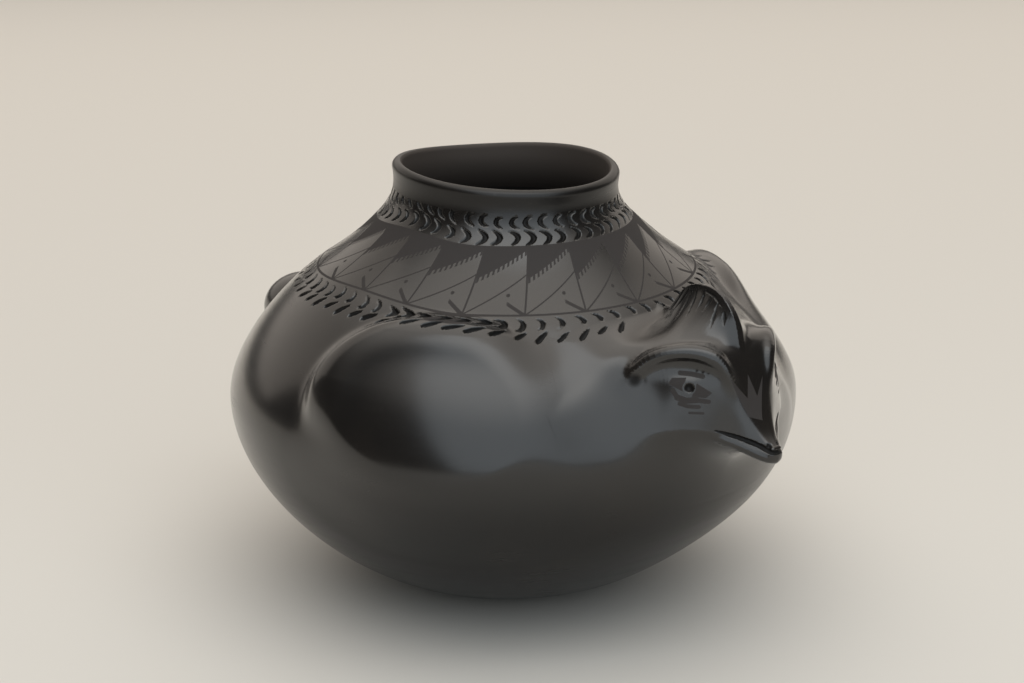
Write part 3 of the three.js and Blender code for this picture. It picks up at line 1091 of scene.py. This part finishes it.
# Distance from the straight line between two places, as nodes
def line_distance(u, v, first, second):
    run = (second[0] - first[0], second[1] - first[1])
    share = ((u - first[0]) * run[0] + (v - first[1]) * run[1]) / (run[0] ** 2 + run[1] ** 2)
    share = share.apply("MAXIMUM", 0.0).apply("MINIMUM", 1.0)
    return length_of(u - first[0] - share * run[0], v - first[1] - share * run[1])


# Direction of the eye's plane, forward and to the middle, and the bare ring round the pupil
eye_plane = (0.771, 0.636)
eye_ring = 2.6


# Matte strokes round each eye and the three-pointed mark on the bridge of the beak
def face_paint(place):
    across, ahead, up = head_place(*(place.part(name) / mm for name in "XYZ"))
    side = abs(across)
    u = (ahead - eye_middle[1]) * eye_plane[0] - (side - eye_middle[0]) * eye_plane[1]
    v = up - eye_middle[2]

    def stroke(half, *places):
        return together(*(below(line_distance(u, v, a, b) - half) for a, b in zip(places[:-1], places[1:])))

    def wedge(x_way, y_way, *corners):
        inside = None
        for (x0, y0), (x1, y1) in zip(corners, corners[1:] + corners[:1]):
            size = math.hypot(x1 - x0, y1 - y0)
            edge = below(((x_way - x0) * (y1 - y0) - (y_way - y0) * (x1 - x0)) / size)
            inside = edge if inside is None else inside * edge
        return inside

    ring = below(eye_ring - length_of(u, v))
    eye_marks = together(
        wedge(u, v, (-8.2, 1.2), (-2.4, -1.4), (-1.4, 3.6), (-6.8, 3.3)) * ring,
        wedge(u, v, (1.2, -3.4), (6.4, -3.8), (8.8, -1.8), (2.8, 1.8)) * ring,
        stroke(0.85, (-4.0, 5.1), (0.3, 4.9), (4.9, 4.2)),
        stroke(0.90, (-6.2, -1.2), (-4.4, -3.8)),
        stroke(1.15, (-4.4, -3.8), (-0.9, -4.9), (3.0, -4.6)),
        stroke(0.85, (3.0, -4.6), (7.6, -5.2)),
        stroke(0.75, (-3.4, -6.1), (-0.3, -7.0), (4.0, -7.2)),
        stroke(0.45, (0.6, -9.5), (5.8, -9.6)),
    )
    crown = together(
        wedge(across, up, (-4.3, 112.1), (-5.6, 105.7), (0.4, 103.5), (1.1, 111.8)),
        wedge(across, up, (-11.1, 120.7), (-5.5, 105.6), (-3.7, 111.8)),
        wedge(across, up, (-4.4, 111.5), (1.2, 111.2), (-1.4, 120.6)),
        wedge(across, up, (0.6, 111.7), (0.3, 103.6), (5.7, 118.7)),
    )
    return together(eye_marks * ahead.ramp(108, 110), crown * ahead.ramp(131, 132))


head_gloss = 0.20
head_box = ((-74, -158, 62), (66, -68, 156))
head_step = 1.02
pressed_matte = 0.8
head_points, head_quads, head_normals = luted_lump(head_and_wall, *head_box, head_step)
head_cut, head_pressed = head_cuts(head_points)
head_points = head_points - head_normals * (head_cut + head_pressed)[:, None]
head_normals[head_cut + head_pressed > 1e-4] = 0
head = make_mesh("head_piece", head_points, head_quads.tolist(), head_normals,
                 carved=head_cut + pressed_matte * head_pressed)
face_clay = burnished_clay("face_clay", head_gloss, face_paint)
settle(head, face_clay, "burnished_clay", "head", "lower_beak", "crest", "right_brow", "left_brow")


# Tail
# A rounded knob of clay luted to the back, opposite the head and sloping down a little.
# It was smoothed into the wall and burnished with it.
tail_meeting = 9.0

# Start inside the wall, length, half width and half height, level and droop of the middle line, squareness
tail_root = 112.0
tail_length = 32.2
tail_half_width = 19.0
tail_half_height = 16.5
tail_level = 96.4
tail_droop = 0.07
tail_square = 2.8
tail_box = ((-46, 80, 56), (46, 156, 136))
tail_step = 1.6


def tail_shape(across, ahead, up):
    past = np.maximum(ahead - tail_root, 0)
    middle = tail_level - tail_droop * past
    round_part = np.hypot(across / tail_half_width, (up - middle) / tail_half_height)
    return (round_part ** tail_square + (past / tail_length) ** tail_square) ** (1 / tail_square) - 1


def tail_and_wall(points):
    lump = as_distance(tail_shape, *points.T)
    return joined(wall_field(points), lump, tail_meeting)


tail_points, tail_quads, tail_normals = luted_lump(tail_and_wall, *tail_box, tail_step)
tail = make_mesh("tail_piece", tail_points, tail_quads.tolist(), tail_normals)
settle(tail, belly_clay, "burnished_clay", "tail")


# Floor and light
# A plain pale table under a bright ceiling, with a cool panel in front of the pot and a warm one
# behind it.
floor_colour = (0.62, 0.60, 0.56, 1)
floor_rough = 0.7
floor_corners = [(-3, -3, 0), (3, -3, 0), (3, 3, 0), (-3, 3, 0)]
floor_mesh = bpy.data.meshes.new("floor")
floor_mesh.from_pydata(floor_corners, [], [(0, 1, 2, 3)])
floor = bpy.data.objects.new("floor", floor_mesh)
bpy.context.scene.collection.objects.link(floor)
floor_material = bpy.data.materials.new("floor")
floor_material.use_nodes = True
floor_shader = floor_material.node_tree.nodes["Principled BSDF"]
floor_shader.inputs["Base Color"].default_value = floor_colour
floor_shader.inputs["Roughness"].default_value = floor_rough
floor_mesh.materials.append(floor_material)

# The surroundings are bright overhead and dim toward the walls
studio_white = (1.0, 0.94, 0.87, 1)
top_light = 1.75
wall_light = 0.1
top_begins = 0.58
world = bpy.data.worlds.new("studio")
world.use_nodes = True
background = world.node_tree.nodes["Background"]
background.inputs["Color"].default_value = studio_white
upward = Wire(background.outputs[0]).node("ShaderNodeTexCoord", {}, {}, out="Generated").part("Z")
brightness = wall_light + upward.ramp(top_begins, 1.0) * (top_light - wall_light)
world.node_tree.links.new(brightness.socket, background.inputs["Strength"])
bpy.context.scene.world = world


box_aim = 0.1


# Lit panel that faces the pot, seen only in its reflections
def soft_box(name, side, rise, distance, size, strength, colour):
    side = math.radians(side)
    rise = math.radians(rise)
    light = bpy.data.lights.new(name, "AREA")
    light.shape = "RECTANGLE"
    light.color = colour
    light.size = size[0]
    light.size_y = size[1]
    light.energy = strength * math.pi * size[0] * size[1]
    box = bpy.data.objects.new(name, light)
    box.location = distance * toward(side, rise)
    box.location.z += box_aim
    box.rotation_euler = (math.pi / 2 - rise, 0, side)
    box.visible_camera = False
    bpy.context.scene.collection.objects.link(box)


soft_box("front_box", side=-35, rise=38, distance=1.5, size=(2.3, 2.4), strength=1.3,
         colour=(0.86, 0.94, 1.0))
soft_box("back_box", side=140, rise=36, distance=1.6, size=(5.6, 1.7), strength=0.55,
         colour=(1.0, 0.90, 0.80))
